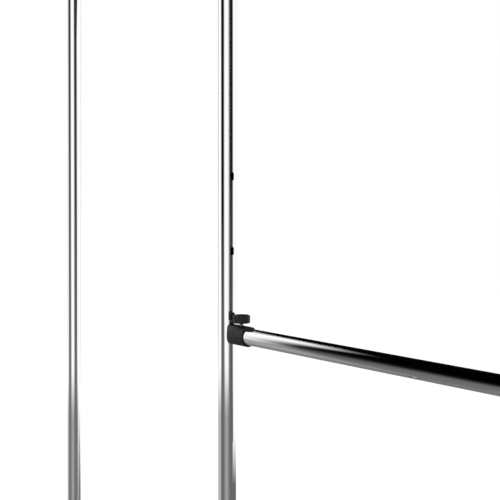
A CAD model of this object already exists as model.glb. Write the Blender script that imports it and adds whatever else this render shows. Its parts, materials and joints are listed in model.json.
"""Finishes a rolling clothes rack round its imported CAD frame: chrome tubes with true slots, soft-edged
mouldings, threaded thumb screws, casters, and a plain studio."""

import json
import math

import bmesh
import bpy
import numpy as np
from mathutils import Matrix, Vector


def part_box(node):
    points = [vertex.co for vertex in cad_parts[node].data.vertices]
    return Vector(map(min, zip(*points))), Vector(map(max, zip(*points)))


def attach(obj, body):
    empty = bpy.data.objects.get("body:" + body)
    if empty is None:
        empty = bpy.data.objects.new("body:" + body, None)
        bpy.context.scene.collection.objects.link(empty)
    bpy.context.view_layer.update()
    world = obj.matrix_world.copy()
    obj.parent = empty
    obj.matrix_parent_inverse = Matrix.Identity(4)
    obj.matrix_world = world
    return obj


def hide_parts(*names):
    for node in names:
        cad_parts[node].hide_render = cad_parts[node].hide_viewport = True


bl_info = {
    "name": "Rolling Clothes Rack",
    "version": (1, 0, 0),
    "blender": (4, 5, 0),
    "location": "View3D > Sidebar > Rack",
    "description": "Finishes a chrome clothes rack on casters and sets up a plain studio",
    "category": "Add Mesh",
}

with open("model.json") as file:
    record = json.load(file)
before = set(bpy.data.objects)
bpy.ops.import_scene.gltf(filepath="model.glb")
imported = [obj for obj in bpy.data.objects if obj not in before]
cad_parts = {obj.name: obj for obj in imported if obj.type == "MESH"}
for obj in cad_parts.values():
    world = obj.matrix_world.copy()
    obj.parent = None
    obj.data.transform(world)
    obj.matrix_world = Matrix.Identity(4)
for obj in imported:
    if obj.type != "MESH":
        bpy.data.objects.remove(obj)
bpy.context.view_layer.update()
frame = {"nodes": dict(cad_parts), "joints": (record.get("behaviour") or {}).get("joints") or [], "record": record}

MM = 0.001
TAU = 2.0 * math.pi
SHARP = 32.0  # degrees: an edge that turns further stays crisp, or is rounded on a softened piece
TOUCHING = 2e-6  # metres: points closer than this are one
CORNERS = ("front_left", "front_right", "rear_left", "rear_right")


# ---- places taken from the frame ---------------------------------------------------------------


def box_of(node):
    """The lowest and highest corners of a node's box."""
    low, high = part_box(node)
    return np.array(low), np.array(high)


def middle_of(node):
    """The middle of a node's box."""
    low, high = box_of(node)
    return (low + high) / 2.0


def body_of_node(node):
    """The name of the body that a node belongs to."""
    for body, members in frame["record"]["behaviour"]["bodies"].items():
        if node in members:
            return body
    raise RuntimeError(f"no body holds {node}")


CENTRE_X = float(middle_of("post_centre")[0])
LEFT_X = float(middle_of("post_left")[0])
RAIL_Z = float(middle_of("lower_rail")[2])
SLIDE_TOP = next(j["range_m"][1] for j in frame["joints"] if j["name"] == "lower_rail_height")


# ---- sizes and colours that a user would change ------------------------------------------------


class RackTubes(bpy.types.PropertyGroup):
    """Drawn steel tube and the slots pierced in it."""

    wall: bpy.props.FloatProperty(
        name="Wall", description="Wall of every tube", default=1.2 * MM, unit="LENGTH")
    lip: bpy.props.FloatProperty(
        name="Lip", description="Chamfer on a sawn end", default=0.2 * MM, unit="LENGTH")
    segments: bpy.props.IntProperty(
        name="Segments", description="Flats round a tube", default=192, min=48)
    slot_width: bpy.props.FloatProperty(
        name="Slot Width", description="Width of a height slot", default=6 * MM, unit="LENGTH")
    slot_height: bpy.props.FloatProperty(
        name="Slot Height", description="Height of a slot over its round ends",
        default=12 * MM, unit="LENGTH")
    slot_rise: bpy.props.FloatProperty(
        name="Slot Rise", description="Middle of the lowest slot above the lower rail's axis",
        default=11 * MM, unit="LENGTH")
    slot_count: bpy.props.IntProperty(
        name="Slots", description="Height slots in each slotted post", default=3, min=2)


class RackMouldings(bpy.types.PropertyGroup):
    """Edges of the moulded and pressed pieces."""

    edge_radius: bpy.props.FloatProperty(
        name="Edge Radius", description="Radius on a moulded edge", default=0.45 * MM,
        unit="LENGTH")
    steel_edge_radius: bpy.props.FloatProperty(
        name="Steel Edge Radius", description="Radius on a pressed or turned steel edge",
        default=0.25 * MM, unit="LENGTH")


class RackScrews(bpy.types.PropertyGroup):
    """Thumb screws and fixing screws."""

    knob_diameter: bpy.props.FloatProperty(
        name="Knob Diameter", description="Diameter of the knob over its ribs",
        default=24.0 * MM, unit="LENGTH")
    knob_edge: bpy.props.FloatProperty(
        name="Knob Edge", description="Radius round the knob's top edge", default=2.0 * MM,
        unit="LENGTH")
    flute_count: bpy.props.IntProperty(
        name="Flutes", description="Finger flutes round the knob", default=16, min=6)
    flute_depth: bpy.props.FloatProperty(
        name="Flute Depth", description="Depth of a finger flute", default=0.5 * MM,
        unit="LENGTH")
    thread_pitch: bpy.props.FloatProperty(
        name="Thread Pitch", description="Pitch of the thumb screw", default=1.0 * MM,
        unit="LENGTH")
    thread_depth: bpy.props.FloatProperty(
        name="Thread Depth", description="Depth of its thread", default=0.5 * MM,
        unit="LENGTH")
    head_height: bpy.props.FloatProperty(
        name="Head Height", description="Height of a fixing screw's head", default=2.0 * MM,
        unit="LENGTH")
    shank_radius: bpy.props.FloatProperty(
        name="Shank Radius", description="Radius of a fixing screw's shank", default=2.0 * MM,
        unit="LENGTH")


class RackTyres(bpy.types.PropertyGroup):
    """Tread of the tyres."""

    shoulder: bpy.props.FloatProperty(
        name="Shoulder", description="Radius of the tyre's shoulders", default=3.0 * MM,
        unit="LENGTH")
    groove_depth: bpy.props.FloatProperty(
        name="Groove Depth", description="Depth of a tread groove", default=0.7 * MM,
        unit="LENGTH")
    groove_offset: bpy.props.FloatProperty(
        name="Groove Offset", description="Middle of a groove from the middle of the tread",
        default=2.6 * MM, unit="LENGTH")


class RackColours(bpy.types.PropertyGroup):
    """Colours of the finishes, as sRGB hex."""

    chrome: bpy.props.StringProperty(
        name="Chrome", description="Bright chrome plate", default="#f0f1f2")
    steel: bpy.props.StringProperty(
        name="Bare Steel", description="Mill scale inside a tube", default="#1a1918")
    moulding: bpy.props.StringProperty(
        name="Moulding", description="Black glass-filled nylon", default="#131314")
    zinc: bpy.props.StringProperty(
        name="Zinc", description="Bright zinc plate", default="#d3d6d9")
    rubber: bpy.props.StringProperty(
        name="Rubber", description="Thermoplastic rubber tyre", default="#2e2f30")
    hub: bpy.props.StringProperty(
        name="Hub", description="Grey nylon wheel centre", default="#7d8083")
    floor: bpy.props.StringProperty(
        name="Floor", description="Pale studio floor", default="#f4f4f4")


class RackStage(bpy.types.PropertyGroup):
    """Camera and studio."""

    camera_place: bpy.props.FloatVectorProperty(
        name="Camera From Post", description="Camera from the centre post at the rail's height",
        default=(1.2853, -0.8758, 0.207), unit="LENGTH")
    camera_turn: bpy.props.FloatProperty(
        name="Camera Turn", description="Turn of the level camera from looking along +Y",
        default=math.radians(54.55), unit="ROTATION")
    lens: bpy.props.FloatProperty(
        name="Lens", description="Focal length on a 36 mm sensor, in mm", default=79.92)
    shift: bpy.props.FloatProperty(
        name="Shift", description="Vertical shift that keeps the posts upright", default=-0.13)


SETTINGS = {
    "rack_tubes": RackTubes,
    "rack_mouldings": RackMouldings,
    "rack_screws": RackScrews,
    "rack_tyres": RackTyres,
    "rack_colours": RackColours,
    "rack_stage": RackStage,
}


# ---- meshes ------------------------------------------------------------------------------------


def new_piece(name, points, faces, sharp=SHARP, slots=None):
    """A mesh object at the origin: doubles merged, normals outwards, edges over sharp degrees kept.
    slots gives each face's material slot."""
    mesh = bpy.data.meshes.new(name)
    mesh.from_pydata(np.asarray(points, float).tolist(), [], np.asarray(faces, int).tolist())
    if slots is not None:
        mesh.polygons.foreach_set("material_index", np.asarray(slots, np.int32))
    return settle(name, mesh, sharp)


def settle(name, mesh, sharp=SHARP):
    """Merges doubles, turns the faces outwards, shades smooth up to the sharp angle, and links."""
    work = bmesh.new()
    work.from_mesh(mesh)
    bmesh.ops.remove_doubles(work, verts=work.verts, dist=TOUCHING)
    bmesh.ops.dissolve_degenerate(work, dist=TOUCHING / 2, edges=work.edges)
    bmesh.ops.recalc_face_normals(work, faces=work.faces)
    work.to_mesh(mesh)
    work.free()
    mesh.polygons.foreach_set("use_smooth", np.ones(len(mesh.polygons), bool))
    mesh.set_sharp_from_angle(angle=math.radians(sharp))
    piece = bpy.data.objects.new(name, mesh)
    bpy.context.scene.collection.objects.link(piece)
    return piece


def grid_faces(rows, cols, wrap_rows=False, wrap_cols=False):
    """Quads of a rows x cols grid of points, as indices, closed round either way if asked."""
    i = np.arange(rows if wrap_rows else rows - 1)[:, None]
    j = np.arange(cols if wrap_cols else cols - 1)[None, :]
    i2 = (i + 1) % rows
    j2 = (j + 1) % cols
    quads = np.stack(np.broadcast_arrays(
        i * cols + j, i * cols + j2, i2 * cols + j2, i2 * cols + j), axis=-1)
    return quads.reshape(-1, 4)


def turned(profile, segments, axis, centre, closed=False):
    """A profile of (radius, height) turned about an axis: x = r cos t, y = r sin t, z = h, then
    the axes are cycled so that heights run along the axis. A closed profile is a ring."""
    profile = np.asarray(profile, float)
    t = np.arange(segments) * TAU / segments
    r = profile[:, 0][:, None]
    h = np.broadcast_to(profile[:, 1][:, None], (len(profile), segments))
    ring = np.stack([r * np.cos(t), r * np.sin(t), h], axis=-1)
    points = to_axis(ring.reshape(-1, 3), axis) + np.asarray(centre)
    return points, grid_faces(len(profile), segments, wrap_rows=closed, wrap_cols=True)


def to_axis(points, axis):
    """Cycles coordinates so that what ran along Z runs along the axis; handedness is kept."""
    shift = {"Z": 0, "X": 1, "Y": 2}[axis]
    return np.roll(points, shift, axis=-1)


def arc(centre, radius, start, end, steps):
    """Points on a circular arc in the (radius, height) plane, angles in degrees."""
    a = np.radians(np.linspace(start, end, steps))
    return (np.asarray(centre) + radius * np.stack([np.cos(a), np.sin(a)], axis=-1)).tolist()


def join(parts):
    """Joins (points, faces) lists into one pair."""
    points = []
    faces = []
    count = 0
    for p, f in parts:
        points.append(np.asarray(p, float))
        faces.extend((np.asarray(f, int) + count).tolist())
        count += len(p)
    return np.concatenate(points), faces


def stands_for(piece, node, *materials):
    """The piece takes a node's place, body and slot, and the materials of its own slots."""
    kept = np.zeros(len(piece.data.polygons), np.int32)
    piece.data.polygons.foreach_get("material_index", kept)
    piece.data.materials.clear()
    for material in materials:
        piece.data.materials.append(material)
    piece.data.polygons.foreach_set("material_index", np.minimum(kept, len(materials) - 1))
    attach(piece, body_of_node(node))
    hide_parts(node)


def softened(node, material, radius):
    """A merged copy of a node with rounded edges: a bevel of three steps on each sharp edge."""
    mesh = frame["nodes"][node].data.copy()
    mesh.materials.clear()
    piece = settle(f"{node}_finished", mesh)
    bevel = piece.modifiers.new("edge_radius", "BEVEL")
    bevel.width = radius
    bevel.segments = 3
    bevel.limit_method = "ANGLE"
    bevel.angle_limit = math.radians(SHARP)
    bevel.harden_normals = True
    bevel.use_clamp_overlap = True
    stands_for(piece, node, material)


# ---- materials ---------------------------------------------------------------------------------


def linear(hex_colour):
    """An sRGB hex colour as linear RGBA."""
    text = hex_colour.lstrip("#")
    values = []
    for i in (0, 2, 4):
        c = int(text[i:i + 2], 16) / 255.0
        values.append(c / 12.92 if c <= 0.04045 else ((c + 0.055) / 1.055) ** 2.4)
    return (*values, 1.0)


def empty_tree(block):
    """The node tree of a material or a world, with nothing in it."""
    block.use_nodes = True
    block.node_tree.nodes.clear()
    return block.node_tree


def add(tree, kind, inputs=None, **settings):
    """Adds a node with its settings. inputs, by name or number, holds what each is given: another
    node's socket is linked, and anything else is set as its value."""
    node = tree.nodes.new(kind)
    for key, value in settings.items():
        setattr(node, key, value)
    for key, value in (inputs or {}).items():
        if isinstance(value, bpy.types.NodeSocket):
            tree.links.new(value, node.inputs[key])
        else:
            node.inputs[key].default_value = value
    return node


def mottle(tree, place, width, low, high, detail=3.0):
    """Clouds about as wide as the given width, as plain noise and as a value from low to high: the
    noise's middle range, where most of it lies, is spread over them."""
    noise = add(tree, "ShaderNodeTexNoise", {
        "Vector": place, "Scale": 1.0 / width, "Detail": detail}).outputs["Fac"]
    spread = add(tree, "ShaderNodeMapRange", {
        "Value": noise, "From Min": 0.35, "From Max": 0.65, "To Min": low, "To Max": high})
    return noise, spread.outputs["Result"]


def chrome_plate(tree, place, colour):
    """Bright chrome on drawn tube: a near mirror, with a faint polishing haze that comes and goes
    along it."""
    _, haze = mottle(tree, place, width=22.2 * MM, low=0.03, high=0.05)
    return {"Base Color": colour, "Metallic": 1.0, "Roughness": haze}


def bare_steel(tree, place, colour):
    """Unplated steel inside a tube and round a pierced slot: dark mill scale that barely shines."""
    _, rough = mottle(tree, place, width=3.33 * MM, low=0.5, high=0.7)
    return {"Base Color": colour, "Roughness": rough, "Specular IOR Level": 0.2}


def moulded_nylon(tree, place, colour):
    """Black glass-filled nylon from a spark-eroded mould: faint clouds, an even grain and a soft
    sheen. The true grain is near 0.1 mm, and is drawn some four times as wide so that it shows."""
    pale = (*(1.5 * c for c in colour[:3]), 1.0)
    _, cloud = mottle(tree, place, width=11.1 * MM, low=0.0, high=1.0)
    shade = add(tree, "ShaderNodeMix", {0: cloud, 6: colour, 7: pale}, data_type="RGBA")
    _, rough = mottle(tree, place, width=1.43 * MM, low=0.4, high=0.5)
    grain, _ = mottle(tree, place, width=0.385 * MM, low=0.0, high=1.0, detail=2.0)
    normal = add(tree, "ShaderNodeBump", {"Height": grain, "Strength": 0.2, "Distance": 0.05 * MM})
    return {"Base Color": shade.outputs[2], "Roughness": rough, "Specular IOR Level": 0.3,
            "Normal": normal.outputs["Normal"]}


def zinc_plate(tree, place, colour):
    """Bright zinc on pressed and turned steel: a greyer metal with a slightly cloudy haze."""
    _, rough = mottle(tree, place, width=6.25 * MM, low=0.34, high=0.44)
    return {"Base Color": colour, "Metallic": 1.0, "Roughness": rough}


def tyre_rubber(tree, place, colour):
    """Moulded thermoplastic rubber: dull, with a faint grain, drawn wide enough to show."""
    grain, rough = mottle(tree, place, width=0.833 * MM, low=0.6, high=0.78)
    normal = add(tree, "ShaderNodeBump", {"Height": grain, "Strength": 0.3, "Distance": 0.05 * MM})
    return {"Base Color": colour, "Roughness": rough, "Normal": normal.outputs["Normal"]}


def hub_nylon(tree, place, colour):
    """Grey moulded nylon of the wheel centres: even, with a satin skin and a faint grain, drawn wide
    enough to show."""
    grain, rough = mottle(tree, place, width=1.11 * MM, low=0.38, high=0.5)
    normal = add(tree, "ShaderNodeBump", {"Height": grain, "Strength": 0.2, "Distance": 0.04 * MM})
    return {"Base Color": colour, "Roughness": rough, "Normal": normal.outputs["Normal"]}


FINISHES = {
    "chrome": ("bright_chrome_plate", chrome_plate),
    "steel": ("bare_mill_steel", bare_steel),
    "moulding": ("moulded_black_nylon", moulded_nylon),
    "zinc": ("bright_zinc_plate", zinc_plate),
    "rubber": ("moulded_tyre_rubber", tyre_rubber),
    "hub": ("moulded_grey_nylon", hub_nylon),
}
_made = {}


def finish_of(context, name):
    """The material of that finish, made once. Its own function gives what its shader is fed."""
    if name not in _made:
        title, recipe = FINISHES[name]
        material = bpy.data.materials.new(title)
        tree = empty_tree(material)
        place = add(tree, "ShaderNodeTexCoord").outputs["Object"]
        inputs = recipe(tree, place, linear(getattr(context.scene.rack_colours, name)))
        shader = add(tree, "ShaderNodeBsdfPrincipled", inputs)
        add(tree, "ShaderNodeOutputMaterial", {"Surface": shader.outputs["BSDF"]})
        _made[name] = material
    return _made[name]


# ---- tubes -------------------------------------------------------------------------------------


def plain_tube(node, axis, settings):
    """A straight tube as a closed ring profile: outside wall, lip, inside wall, lip, turned about
    its axis."""
    low, high = box_of(node)
    k = "XYZ".index(axis)
    radius = float((high - low)[(k + 1) % 3]) / 2.0
    start = float(low[k])
    end = float(high[k])
    lip = settings.lip
    inside = radius - settings.wall
    profile = [
        (radius, start + lip), (radius, end - lip), (radius - lip, end),
        (inside + lip, end), (inside, end - lip), (inside, start + lip),
        (inside + lip, start), (radius - lip, start),
    ]
    bare = [0, 0, 0, 1, 1, 1, 0, 0]  # which stretches of the profile have no chrome
    centre = (low + high) / 2.0
    centre[k] = 0.0
    points, faces = turned(profile, settings.segments, axis, centre, closed=True)
    return new_piece(f"{node}_chrome", points, faces, slots=np.repeat(bare, settings.segments))


def slot_outline(half_w, half_h, toward):
    """Where a ray from the slot's middle towards each given (y, z) meets its outline: straight
    sides half_w away, and half circles of that radius above and below."""
    y = toward[:, 0]
    z = toward[:, 1]
    length = np.hypot(y, z)
    u = y / length
    w = z / length
    straight = half_h - half_w
    side = np.full_like(u, np.inf)
    crosses = np.abs(u) > 1e-9
    side[crosses] = half_w / np.abs(u[crosses])
    on_side = np.abs(side * w) <= straight
    c = straight * np.abs(w)
    round_end = c + np.sqrt(np.maximum(c * c - straight * straight + half_w * half_w, 0.0))
    reach = np.where(on_side, side, round_end)
    return np.stack([u * reach, w * reach], axis=-1)


def slotted_tube(node, way, settings, heights):
    """A tube whose wall is a grid of (angle, height) with a window left round each slot; each
    window is filled by rings that run from its frame in to the slot's outline. The slots face
    along X, the way given."""
    low, high = box_of(node)
    radius = float(high[0] - low[0]) / 2.0
    inside = radius - settings.wall
    n = settings.segments
    window_turn = 18.75  # degrees to each side of the slot's middle
    window_margin = 2.5 * MM
    half_cols = max(4, round(n * window_turn / 360.0))
    window_h = settings.slot_height / 2.0 + window_margin
    window_rows = 12
    ring_count = 5
    half_w = settings.slot_width / 2.0
    half_h = settings.slot_height / 2.0
    middle = n // 2
    angle = (np.arange(n + 1) - middle) * TAU / n

    levels = [low[2]]
    windows = []
    for z in heights:
        windows.append(len(levels))
        levels.extend(np.linspace(z - window_h, z + window_h, window_rows + 1))
    levels.append(high[2])
    levels = np.array(levels)

    def wall(r):
        """The grid of one wall, without its windows."""
        a, z = np.meshgrid(angle, levels)
        points = np.stack([r * np.cos(a), r * np.sin(a), z], axis=-1).reshape(-1, 3)
        faces = grid_faces(len(levels), n + 1).reshape(len(levels) - 1, n, 4)
        keep = np.ones(faces.shape[:2], bool)
        for w in windows:
            keep[w:w + window_rows, middle - half_cols:middle + half_cols] = False
        return points, faces[keep]

    def window_frame():
        """The window's frame as (angle, height from the slot's middle), anticlockwise."""
        a = angle[middle - half_cols:middle + half_cols + 1]
        v = np.linspace(-window_h, window_h, window_rows + 1)
        right = np.stack([np.full(window_rows, a[-1]), v[:-1]], axis=-1)
        top = np.stack([a[:0:-1], np.full(2 * half_cols, v[-1])], axis=-1)
        left = np.stack([np.full(window_rows, a[0]), v[:0:-1]], axis=-1)
        bottom = np.stack([a[:-1], np.full(2 * half_cols, v[0])], axis=-1)
        return np.concatenate([right, top, left, bottom])

    def window(z, r):
        """Rings between the slot's outline and the window's frame on a wall of radius r."""
        outer = window_frame()
        chord = np.stack([radius * np.sin(outer[:, 0]), outer[:, 1]], axis=-1)
        cut = slot_outline(half_w, half_h, chord)
        inner = np.stack([np.arcsin(cut[:, 0] / r), cut[:, 1]], axis=-1)
        t = np.linspace(0.0, 1.0, ring_count)[:, None, None]
        ring = (1.0 - t) * inner + t * outer
        return np.stack([r * np.cos(ring[..., 0]), r * np.sin(ring[..., 0]), z + ring[..., 1]],
                        axis=-1)

    parts = [wall(radius), wall(inside)]
    plated = [True, False]
    for z in heights:
        outside = window(z, radius)
        within = window(z, inside)
        count = outside.shape[1]
        for rings in (outside, within, np.stack([outside[0], within[0]])):
            parts.append((rings.reshape(-1, 3), grid_faces(len(rings), count, wrap_cols=True)))
        plated += [True, False, False]
    for z in (low[2], high[2]):
        ring = np.stack([
            np.stack([r * np.cos(angle), r * np.sin(angle), np.full(n + 1, z)], axis=-1)
            for r in (radius, inside)
        ])
        parts.append((ring.reshape(-1, 3), grid_faces(2, n + 1)))
        plated.append(True)
    points, faces = join(parts)
    points = points * np.array([way, way, 1.0]) + np.array([(low[0] + high[0]) / 2.0, 0.0, 0.0])
    bare = np.concatenate([np.full(len(f), not p) for (_, f), p in zip(parts, plated)])
    return new_piece(f"{node}_chrome", points, faces, slots=bare)


class RACK_OT_tubes(bpy.types.Operator):
    """Makes the posts, the rails and the base tubes in bright chrome."""

    bl_idname = "clothes_rack.tubes"
    bl_label = "Make Tubes"

    def execute(self, context):
        settings = context.scene.rack_tubes
        chrome = finish_of(context, "chrome")
        steel = finish_of(context, "steel")
        pitch = SLIDE_TOP / (settings.slot_count - 1)
        first = RAIL_Z + settings.slot_rise
        heights = [first + i * pitch for i in range(settings.slot_count)]
        for node, way in (("post_centre", 1.0), ("post_right", -1.0)):
            stands_for(slotted_tube(node, way, settings, heights), node, chrome, steel)
        plain = {
            "post_left": "Z", "top_rail_long": "X", "top_rail_short": "X", "lower_rail": "X",
            "base_stretcher": "X", "foot_tube_left": "Y", "foot_tube_right": "Y",
        }
        for node, axis in plain.items():
            stands_for(plain_tube(node, axis, settings), node, chrome, steel)
        return {"FINISHED"}


# ---- mouldings ---------------------------------------------------------------------------------


class RACK_OT_mouldings(bpy.types.Operator):
    """Rounds the edges of the connectors, brackets and pedals, and gives them black nylon."""

    bl_idname = "clothes_rack.mouldings"
    bl_label = "Finish Mouldings"

    def execute(self, context):
        nylon = finish_of(context, "moulding")
        radius = context.scene.rack_mouldings.edge_radius
        heads = ("base_tee", "top_tee", "top_elbow", "foot_socket", "rail_bracket", "brake_pedal")
        for node in sorted(frame["nodes"]):
            if node.startswith(heads):
                softened(node, nylon, radius)
        return {"FINISHED"}


# ---- screws ------------------------------------------------------------------------------------


def fluted_knob(node, settings):
    """A turned knob whose rim is fluted: radius = profile - depth x (1 - (s / h)^2) within the half
    width h of a flute, s being the distance round the rim. A flute fades out where the profile
    leaves the rim. The top is dished by (1 - r^4), r being the share of the dish's radius."""
    low, high = box_of(node)
    radius = settings.knob_diameter / 2.0
    height = float(high[2] - low[2])
    edge = settings.knob_edge
    foot = 1.2 * MM
    dish = 0.4 * MM
    dish_reach = 0.78 * radius
    flute_half = 1.55 * MM
    flute_start = 0.86 * radius
    flute_full = 0.94 * radius
    profile = np.array([
        (0.0, 0.0),
        *((r, 0.0) for r in np.linspace(0.25, 0.95, 6) * (radius - foot)),
        *arc((radius - foot, foot), foot, -90, 0, 7),
        *((radius, h) for h in np.linspace(foot * 1.3, height - edge * 1.1, 8)),
        *arc((radius - edge, height - edge), edge, 0, 84, 12),
        *((r * dish_reach, height - dish * (1.0 - r ** 4)) for r in np.linspace(1.0, 0.0, 10)),
    ])
    n = settings.flute_count * 24
    t = np.arange(n) * TAU / n
    pitch = TAU / settings.flute_count
    s = radius * ((t + pitch / 2.0) % pitch - pitch / 2.0)
    flute = np.clip(1.0 - (s / flute_half) ** 2, 0.0, 1.0)
    near_rim = np.clip((profile[:, :1] - flute_start) / (flute_full - flute_start), 0.0, 1.0)
    r = profile[:, :1] - settings.flute_depth * near_rim * flute
    points = np.stack([r * np.cos(t), r * np.sin(t), np.broadcast_to(profile[:, 1:], r.shape)],
                      axis=-1)
    centre = np.array([*((low + high) / 2.0)[:2], low[2]])
    return new_piece(f"{node}_fluted", points.reshape(-1, 3) + centre,
                     grid_faces(len(profile), n, wrap_cols=True), sharp=50.0)


def threaded_screw(node, settings):
    """A helical thread: radius falls by a triangle wave of height / pitch - turn, cut flat at its
    crest and root. The tip is a short cone, and the ends close on the axis."""
    low, high = box_of(node)
    radius = float(high[0] - low[0]) / 2.0
    n = 48
    steps_per_pitch = 8
    flank = 1.25
    crest = 0.12
    cone_length = 0.8 * MM
    cone_depth = 1.0 * MM
    z = np.arange(float(low[2]), float(high[2]), settings.thread_pitch / steps_per_pitch)[:, None]
    t = np.arange(n) * TAU / n
    phase = (z / settings.thread_pitch - t / TAU) % 1.0
    wave = np.clip(np.abs(2.0 * phase - 1.0) * flank - crest, 0.0, 1.0)
    cone = radius - cone_depth * (1.0 - np.clip((z - z[0]) / cone_length, 0.0, 1.0))
    r = np.minimum(radius - settings.thread_depth * wave, cone)
    ring = np.stack([r * np.cos(t), r * np.sin(t), np.broadcast_to(z, r.shape)], axis=-1)
    tip = np.broadcast_to([0.0, 0.0, z[0, 0]], (1, n, 3))
    top = np.broadcast_to([0.0, 0.0, z[-1, 0]], (1, n, 3))
    points = np.concatenate([tip, ring, top])
    centre = np.array([*((low + high) / 2.0)[:2], 0.0])
    return new_piece(f"{node}_threaded", points.reshape(-1, 3) + centre,
                     grid_faces(len(points), n, wrap_cols=True), sharp=60.0)


def islands(node):
    """The separate solids of a node, each as its lowest and highest corner."""
    work = bmesh.new()
    work.from_mesh(frame["nodes"][node].data)
    bmesh.ops.remove_doubles(work, verts=work.verts, dist=TOUCHING / 2)
    seen = set()
    boxes = []
    for seed in work.verts:
        if seed in seen:
            continue
        group = []
        stack = [seed]
        seen.add(seed)
        while stack:
            vert = stack.pop()
            group.append(tuple(vert.co))
            for edge in vert.link_edges:
                other = edge.other_vert(vert)
                if other not in seen:
                    seen.add(other)
                    stack.append(other)
        group = np.array(group)
        boxes.append((group.min(axis=0), group.max(axis=0)))
    work.free()
    return boxes


def pan_head(place, face_y, head_r, shank_end, settings):
    """A domed head facing +Y, with its shank: height = (1 - (0.86 r)^2.6)^0.5 of the head's, r being
    the share of its radius. A cross recess lowers it by a step where |x| or |z| is under the
    recess's half width, inside its reach."""
    head_h = settings.head_height
    shank_r = settings.shank_radius
    recess_half = 0.13 * head_r
    recess_wall = 0.06 * head_r
    recess_reach = 0.58 * head_r
    recess_end = 0.08 * head_r
    recess_depth = 0.55 * head_h
    n = 96
    t = np.arange(n) * TAU / n
    share = np.concatenate([np.linspace(0.0, 0.62, 18), np.linspace(0.66, 1.0, 8)])[:, None]
    r = share * head_r
    x = r * np.cos(t)
    z = r * np.sin(t)
    dome = head_h * np.sqrt(1.0 - (0.86 * share) ** 2.6)
    across = np.minimum(np.abs(x), np.abs(z))
    cut = np.clip((recess_half - across) / recess_wall, 0.0, 1.0)
    cut = cut * np.clip((recess_reach - r) / recess_end, 0.0, 1.0)
    top = np.stack([x, dome - recess_depth * cut, z], axis=-1)
    skirt = [(head_r, 0.0), (shank_r, 0.0), (shank_r, -shank_end), (0.0, -shank_end)]
    rings = [np.stack([a * np.cos(t), np.full(n, b), a * np.sin(t)], axis=-1) for a, b in skirt]
    points = np.concatenate([top, np.stack(rings)])
    return (points.reshape(-1, 3) + np.array([place[0], face_y, place[1]]),
            grid_faces(len(points), n, wrap_cols=True))


class RACK_OT_screws(bpy.types.Operator):
    """Makes the fluted thumb knobs, their threaded screws and the connectors' fixing screws."""

    bl_idname = "clothes_rack.screws"
    bl_label = "Make Screws"

    def execute(self, context):
        settings = context.scene.rack_screws
        nylon = finish_of(context, "moulding")
        zinc = finish_of(context, "zinc")
        for side in ("left", "right"):
            knob = f"thumb_knob_{side}"
            screw = f"thumb_screw_{side}"
            stands_for(fluted_knob(knob, settings), knob, nylon)
            stands_for(threaded_screw(screw, settings), screw, zinc)
        for node in ("base_fixing_screws", "top_fixing_screws"):
            parts = []
            for low, high in islands(node):
                head_r = (high[0] - low[0]) / 2.0
                face_y = high[1] - settings.head_height
                place = ((low[0] + high[0]) / 2.0, (low[2] + high[2]) / 2.0)
                parts.append(pan_head(place, face_y, head_r, face_y - low[1], settings))
            points, faces = join(parts)
            stands_for(new_piece(f"{node}_cross", points, faces, sharp=40.0), node, zinc)
        return {"FINISHED"}


# ---- casters -----------------------------------------------------------------------------------


def grooved_tyre(node, hub, settings):
    """A turned tyre: flat tread with two grooves, round shoulders, and a bore that seats on the
    hub."""
    low, high = box_of(node)
    hub_low, hub_high = box_of(hub)
    radius = float(high[2] - low[2]) / 2.0
    half = float(high[0] - low[0]) / 2.0
    seat = float(hub_high[2] - hub_low[2]) / 2.0
    shoulder = settings.shoulder
    groove = settings.groove_depth
    groove_floor = 0.4 * groove
    profile = [(seat, -half), (radius - shoulder, -half)]
    profile += arc((radius - shoulder, -half + shoulder), shoulder, -90, 0, 9)[1:]
    for h in (-settings.groove_offset, settings.groove_offset):
        profile += [
            (radius, h - groove), (radius - groove, h - groove_floor),
            (radius - groove, h + groove_floor), (radius, h + groove),
        ]
    profile += arc((radius - shoulder, half - shoulder), shoulder, 0, 90, 9)
    profile += [(seat, half)]
    points, faces = turned(profile, 128, "X", (low + high) / 2.0, closed=True)
    return new_piece(f"{node}_grooved", points, faces)


def ring_of_balls(node):
    """A sphere in each solid's box, as half circles of (radius, height) turned about +Z."""
    parts = []
    for low, high in islands(node):
        profile = arc((0.0, 0.0), (high[2] - low[2]) / 2.0, -90, 90, 13)
        parts.append(turned(profile, 24, "Z", (low + high) / 2.0))
    points, faces = join(parts)
    return new_piece(f"{node}_round", points, faces)


class RACK_OT_casters(bpy.types.Operator):
    """Makes the tyres and the swivel balls, and finishes the other pieces of the casters."""

    bl_idname = "clothes_rack.casters"
    bl_label = "Make Casters"

    def execute(self, context):
        rubber = finish_of(context, "rubber")
        zinc = finish_of(context, "zinc")
        grey = finish_of(context, "hub")
        edge = context.scene.rack_mouldings
        for corner in CORNERS:
            tyre = f"tyre_{corner}"
            hub = f"wheel_hub_{corner}"
            stands_for(grooved_tyre(tyre, hub, context.scene.rack_tyres), tyre, rubber)
            softened(hub, grey, edge.edge_radius)
            for steel in ("caster_fork", "caster_axle", "caster_stem", "wheel_bush"):
                softened(f"{steel}_{corner}", zinc, edge.steel_edge_radius)
            balls = f"swivel_balls_{corner}"
            stands_for(ring_of_balls(balls), balls, zinc)
        return {"FINISHED"}


# ---- studio ------------------------------------------------------------------------------------


def by_height(tree, rise, start, stop, low, high):
    """A tone that eases from low to high between two elevations, in degrees. rise is the sine of
    the elevation, and low and high are numbers or sockets."""
    return add(tree, "ShaderNodeMapRange", {
        "Value": rise, "From Min": math.sin(math.radians(start)),
        "From Max": math.sin(math.radians(stop)), "To Min": low, "To Max": high},
        interpolation_type="SMOOTHSTEP").outputs["Result"]


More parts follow.
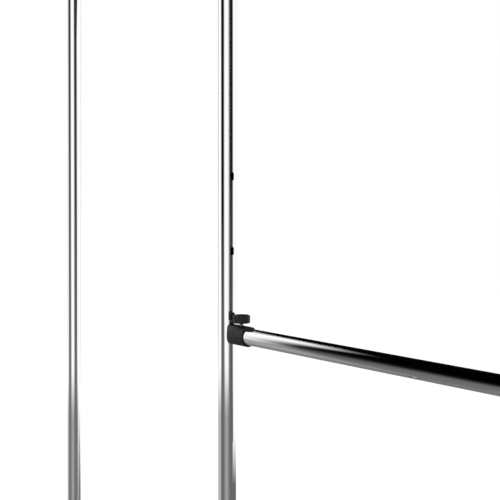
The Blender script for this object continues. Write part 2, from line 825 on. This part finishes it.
def sector(tree, flat, turn, half, soft, tone):
    """The tone, a number or a socket, where a level direction lies within half degrees of the
    compass turn, easing to 0 over the soft angle on each side."""
    turn = math.radians(turn)
    aim = add(tree, "ShaderNodeVectorMath", {0: flat, 1: (math.cos(turn), math.sin(turn), 0.0)},
              operation="DOT_PRODUCT")
    return add(tree, "ShaderNodeMapRange", {
        "Value": aim.outputs["Value"], "From Min": math.cos(math.radians(half + soft)),
        "From Max": math.cos(math.radians(half)), "To Min": 0.0, "To Max": tone},
        interpolation_type="SMOOTHSTEP").outputs["Result"]


def straight_view(tree, rays):
    """1 for a ray that comes from the camera or through something clear, else 0."""
    return add(tree, "ShaderNodeMath", {
        0: rays.outputs["Is Camera Ray"], 1: rays.outputs["Is Transmission Ray"]},
        operation="MAXIMUM").outputs[0]


def studio_world():
    """White behind everything for the camera, and an even pale sky for soft light. Gloss sees white
    walls between a grey floor, darker underfoot, and a dark ceiling that comes right down at the
    back on the left."""
    world = bpy.data.worlds.new("studio")
    bpy.context.scene.world = world
    tree = empty_tree(world)
    way = add(tree, "ShaderNodeTexCoord").outputs["Generated"]
    rise = add(tree, "ShaderNodeSeparateXYZ", {"Vector": way}).outputs["Z"]
    level = add(tree, "ShaderNodeVectorMath", {0: way, 1: (1.0, 1.0, 0.0)}, operation="MULTIPLY")
    flat = add(tree, "ShaderNodeVectorMath", {0: level.outputs[0]},
               operation="NORMALIZE").outputs[0]

    walls = by_height(tree, rise, 44, 50, 1.12, 0.002)
    low_ceiling = sector(tree, flat, 152, 23, 3, by_height(tree, rise, -12, -7, 0.0, 0.996))
    above = add(tree, "ShaderNodeMix", {0: low_ceiling, 2: walls, 3: 0.0},
                data_type="FLOAT").outputs[0]

    ground = by_height(tree, rise, -45, -12, 0.2, 0.375)
    left = sector(tree, flat, 180, 40, 30, by_height(tree, rise, -30, -14, 0.0, 0.16))
    patch_tone = by_height(tree, rise, -30, -20, 0.12, 0.0)
    patch = sector(tree, flat, 200, 16, 22, by_height(tree, rise, -48, -36, 0.0, patch_tone))
    for paler in (left, patch):
        ground = add(tree, "ShaderNodeMath", {0: ground, 1: paler}, operation="ADD").outputs[0]

    # the floor meets the walls lower down at the back
    lifted = add(tree, "ShaderNodeMath", {0: rise, 1: sector(tree, flat, 90, 35, 10, 0.06)},
                 operation="ADD").outputs[0]
    horizon = by_height(tree, lifted, -12, -9, 0.0, 1.0)
    strength = add(tree, "ShaderNodeMix", {0: horizon, 2: ground, 3: above},
                   data_type="FLOAT").outputs[0]

    plain = (1.0, 1.0, 1.0, 1.0)
    room = add(tree, "ShaderNodeBackground", {"Color": plain, "Strength": strength})
    sky = add(tree, "ShaderNodeBackground", {"Color": plain, "Strength": 0.75})
    white = add(tree, "ShaderNodeBackground", {"Color": plain, "Strength": 1.0})
    rays = add(tree, "ShaderNodeLightPath")
    lit = add(tree, "ShaderNodeMixShader", {
        0: rays.outputs["Is Glossy Ray"], 1: sky.outputs[0], 2: room.outputs[0]})
    seen = add(tree, "ShaderNodeMixShader", {
        0: straight_view(tree, rays), 1: lit.outputs[0], 2: white.outputs[0]})
    add(tree, "ShaderNodeOutputWorld", {"Surface": seen.outputs[0]})


def pale_floor(colour):
    """A broad pale floor, lifted to white for the camera where no shadow falls. Gloss looks past it
    to the room's own floor."""
    half = 40.0
    mesh = bpy.data.meshes.new("studio_floor")
    mesh.from_pydata([(-half, -half, 0), (half, -half, 0), (half, half, 0), (-half, half, 0)], [],
                     [(0, 1, 2, 3)])
    floor = bpy.data.objects.new("studio_floor", mesh)
    bpy.context.scene.collection.objects.link(floor)
    material = bpy.data.materials.new("pale_studio_floor")
    tree = empty_tree(material)
    paint = add(tree, "ShaderNodeBsdfDiffuse", {"Color": linear(colour)})
    lift = add(tree, "ShaderNodeEmission", {"Strength": 0.35})
    lifted = add(tree, "ShaderNodeAddShader", {0: paint.outputs[0], 1: lift.outputs[0]})
    rays = add(tree, "ShaderNodeLightPath")
    seen = add(tree, "ShaderNodeMixShader", {
        0: straight_view(tree, rays), 1: paint.outputs[0], 2: lifted.outputs[0]})
    add(tree, "ShaderNodeOutputMaterial", {"Surface": seen.outputs[0]})
    mesh.materials.append(material)
    floor.visible_glossy = False


def eased(t):
    """Runs from 0 to 1 with t and is level at both ends: t^2 (3 - 2 t)."""
    return t * t * (3.0 - 2.0 * t)


def gloss_panel(name, points, shown, glow, near, far):
    """A dark panel of the studio. It shows only in the gloss of what lies between near and far away,
    on the side that its faces point to. points is a grid of rows and columns, and shown and glow
    are the panel's cover and its strength at each."""
    grid = points.shape[:2]
    mesh = bpy.data.meshes.new(name)
    mesh.from_pydata(points.reshape(-1, 3).tolist(), [], grid_faces(*grid).tolist())
    for key, values in (("shown", shown), ("glow", glow)):
        whole = np.broadcast_to(values, grid).astype(np.float32).ravel()
        mesh.attributes.new(key, "FLOAT", "POINT").data.foreach_set("value", whole)
    panel = bpy.data.objects.new(name, mesh)
    bpy.context.scene.collection.objects.link(panel)
    material = bpy.data.materials.new(name)
    tree = empty_tree(material)
    away = add(tree, "ShaderNodeLightPath").outputs["Ray Length"]
    close = add(tree, "ShaderNodeMath", {0: away, 1: (near + far) / 2, 2: (far - near) / 2},
                operation="COMPARE")
    behind = add(tree, "ShaderNodeNewGeometry").outputs["Backfacing"]
    front = add(tree, "ShaderNodeMath", {0: close.outputs[0], 1: behind}, operation="SUBTRACT",
                use_clamp=True)
    cover = add(tree, "ShaderNodeMath", {
        0: add(tree, "ShaderNodeAttribute", attribute_name="shown").outputs["Fac"],
        1: front.outputs[0]}, operation="MULTIPLY")
    strength = add(tree, "ShaderNodeAttribute", attribute_name="glow").outputs["Fac"]
    dark = add(tree, "ShaderNodeEmission", {"Strength": strength})
    clear = add(tree, "ShaderNodeBsdfTransparent")
    mix = add(tree, "ShaderNodeMixShader", {
        0: cover.outputs[0], 1: clear.outputs[0], 2: dark.outputs[0]})
    add(tree, "ShaderNodeOutputMaterial", {"Surface": mix.outputs[0]})
    mesh.materials.append(material)
    panel.visible_camera = False
    panel.visible_diffuse = False
    panel.visible_shadow = False
    panel.visible_transmission = False


def flag(name, post_x, reach, far, fade, rows):
    """A round flag about a post, at one reach from it, that shows no further away than far. A row is
    (its height, the compass turns in degrees where it starts and stops, its strength), the lowest
    first. The flag's two upright edges fade over those shares of its width."""
    t = np.linspace(0.0, 1.0, 97)
    height, start, stop, strength = np.array(rows[::-1]).T[..., None]
    turn = np.radians(start + (stop - start) * t)
    points = np.stack([post_x + reach * np.cos(turn), reach * np.sin(turn),
                       np.broadcast_to(height, turn.shape)], axis=-1)
    edge = np.clip(t / fade[0], 0.0, 1.0) * np.clip((1.0 - t) / fade[1], 0.0, 1.0)
    gloss_panel(name, points, eased(edge), strength, near=0.0, far=far)


def post_flags():
    """The dark lines in the gloss of the centre post and the left post. Each post has one flag for
    its left line and one, at its side, for its right line. flag_post_low darkens the centre post's
    right edge near the floor."""
    flag("flag_post", CENTRE_X, 0.03, 0.048, (0.223, 0.343), (
        (0.14, -106.0, -49.4, 0.18), (0.88, -106.0, -49.4, 0.155), (0.97, -104.1, -54.8, 0.1),
        (1.1, -105.5, -55.7, 0.012), (1.5, -107.9, -56.2, 0.004), (1.68, -107.9, -56.2, 0.004)))
    flag("flag_post_side", CENTRE_X, 1.3, 1.45, (0.37, 0.3), (
        (0.14, -33.0, 57.0, 0.15), (0.48, -33.0, 57.0, 0.15), (0.84, -29.5, 57.0, 0.078),
        (1.2, -29.0, 57.0, 0.01), (1.75, -32.5, 56.0, 0.006)))
    flag("flag_post_low", CENTRE_X, 1.3, 1.45, (0.2, 0.1), (
        (0.14, 30.0, 115.0, 0.15), (0.37, 30.0, 115.0, 0.15), (0.48, 30.0, 115.0, 1.0)))
    flag("flag_end", LEFT_X, 0.05, 0.06, (0.3, 0.23), (
        (0.14, -134.0, -61.0, 0.2), (0.82, -134.0, -61.0, 0.19), (1.11, -141.0, -68.0, 0.12),
        (1.5, -156.0, -76.0, 0.04), (1.68, -156.0, -76.0, 0.04)))
    flag("flag_end_side", LEFT_X, 0.05, 0.06, (0.32, 0.25), (
        (0.14, -33.5, 30.0, 0.2), (0.82, -34.5, 29.5, 0.16), (0.93, -35.5, 27.5, 0.115),
        (1.11, -37.0, 25.5, 0.065), (1.5, -45.0, 18.5, 0.03), (1.68, -45.0, 18.5, 0.03)))


def rail_screen():
    """A flat dark screen that stands out in front of the rack beside the centre post, for the lower
    rail's gloss. A row is (its height at the rack and at the screen's far end, how far in front
    of the rack its soft edge starts and stops, its strength), the lowest first."""
    rows = (
        (0.4, 0.4, 0.12, 0.22, 0.18), (0.85, 0.55, 0.07, 0.2, 0.155),
        (0.905, 0.79, 0.035, 0.18, 0.1), (0.935, 0.97, 0.03, 0.165, 0.03),
        (0.967, 1.17, 0.05, 0.175, 0.004), (1.03, 1.5, 0.065, 0.185, 0.0),
        (1.12, 2.0, 0.04, 0.165, 0.0), (1.9, 2.6, 0.03, 0.15, 0.0))
    beside = 0.018
    length = 1.2
    t = np.linspace(0.0, 1.0, 25)
    near_z, far_z, start, stop, strength = np.array(rows[::-1]).T[..., None]
    forward = np.append(start + (stop - start) * t, np.full_like(start, length), axis=1)
    height = near_z + (far_z - near_z) * forward / length
    points = np.stack([np.full_like(forward, CENTRE_X - beside), -forward, height], axis=-1)
    gloss_panel("rail_screen", points, np.append(eased(t), 1.0), strength, near=0.09, far=5.0)


def overhead_board():
    """A black board over the lower rail, for the gloss of what lies under it. Its left edge fades
    in, and starts further left behind the rack. A row is (its Y, where that edge starts in X)."""
    rows = ((0.6, -1.3), (0.02, -1.3), (-0.03, -1.1), (-0.08, -0.96), (-0.6, -0.95))
    above_rail = 0.75
    fade_width = 0.35
    right = 1.5
    t = np.linspace(0.0, 1.0, 9)
    y, start = np.array(rows).T[..., None]
    x = np.append(start + fade_width * t, np.full_like(start, right), axis=1)
    points = np.stack([x, np.broadcast_to(y, x.shape), np.full_like(x, RAIL_Z + above_rail)],
                      axis=-1)
    gloss_panel("overhead_board", points, np.append(eased(t), 1.0), glow=0.0, near=0.0, far=5.0)


def soft_lamp(name, place, power):
    """A square area lamp aimed at the middle of the rack, left out of reflections."""
    data = bpy.data.lights.new(name, "AREA")
    data.shape = "SQUARE"
    data.size = 2.4
    data.energy = power
    lamp = bpy.data.objects.new(name, data)
    lamp.location = place
    aim = Vector((0.0, 0.0, 0.8)) - Vector(place)
    lamp.rotation_euler = aim.to_track_quat("-Z", "Y").to_euler()
    lamp.visible_glossy = False
    bpy.context.scene.collection.objects.link(lamp)


def level_camera(scene):
    """A level camera, shifted and not tilted, so that the posts stay upright in its picture."""
    stage = scene.rack_stage
    data = bpy.data.cameras.new("camera")
    data.sensor_width = 36.0
    data.lens = stage.lens
    data.shift_y = stage.shift
    data.clip_end = 200.0
    camera = bpy.data.objects.new("camera", data)
    camera.location = Vector((CENTRE_X, 0.0, RAIL_Z)) + Vector(stage.camera_place)
    camera.rotation_euler = (math.pi / 2.0, 0.0, stage.camera_turn)
    scene.collection.objects.link(camera)
    scene.camera = camera


class RACK_OT_studio(bpy.types.Operator):
    """Sets the camera, the white studio, its pale floor, its dark panels and its soft lamps."""

    bl_idname = "clothes_rack.studio"
    bl_label = "Set Studio"

    def execute(self, context):
        scene = context.scene
        level_camera(scene)
        scene.view_settings.view_transform = "Standard"
        studio_world()
        pale_floor(scene.rack_colours.floor)
        post_flags()
        rail_screen()
        overhead_board()
        soft_lamp("key", (1.6, -2.6, 3.0), 60.0)
        soft_lamp("fill", (-2.4, -1.6, 2.2), 25.0)
        return {"FINISHED"}


# ---- sidebar and start -------------------------------------------------------------------------


OPERATORS = (RACK_OT_tubes, RACK_OT_mouldings, RACK_OT_screws, RACK_OT_casters, RACK_OT_studio)


class RACK_PT_panel(bpy.types.Panel):
    """Lists the rack's pieces and their sizes."""

    bl_label = "Clothes Rack"
    bl_idname = "RACK_PT_panel"
    bl_space_type = "VIEW_3D"
    bl_region_type = "UI"
    bl_category = "Rack"

    def draw(self, context):
        layout = self.layout
        for operator in OPERATORS:
            layout.operator(operator.bl_idname)
        for name, group in SETTINGS.items():
            box = layout.box()
            for prop in group.__annotations__:
                box.prop(getattr(context.scene, name), prop)


CLASSES = (*SETTINGS.values(), *OPERATORS, RACK_PT_panel)


def register():
    """Registers the classes and hangs the settings on the scene."""
    for cls in CLASSES:
        bpy.utils.register_class(cls)
    for name, group in SETTINGS.items():
        setattr(bpy.types.Scene, name, bpy.props.PointerProperty(type=group))


def unregister():
    """Undoes register."""
    for name in SETTINGS:
        delattr(bpy.types.Scene, name)
    for cls in reversed(CLASSES):
        bpy.utils.unregister_class(cls)


def main():
    """Makes every piece and the studio."""
    register()
    bpy.ops.clothes_rack.tubes()
    bpy.ops.clothes_rack.mouldings()
    bpy.ops.clothes_rack.screws()
    bpy.ops.clothes_rack.casters()
    bpy.ops.clothes_rack.studio()


if __name__ == "__main__":
    main()
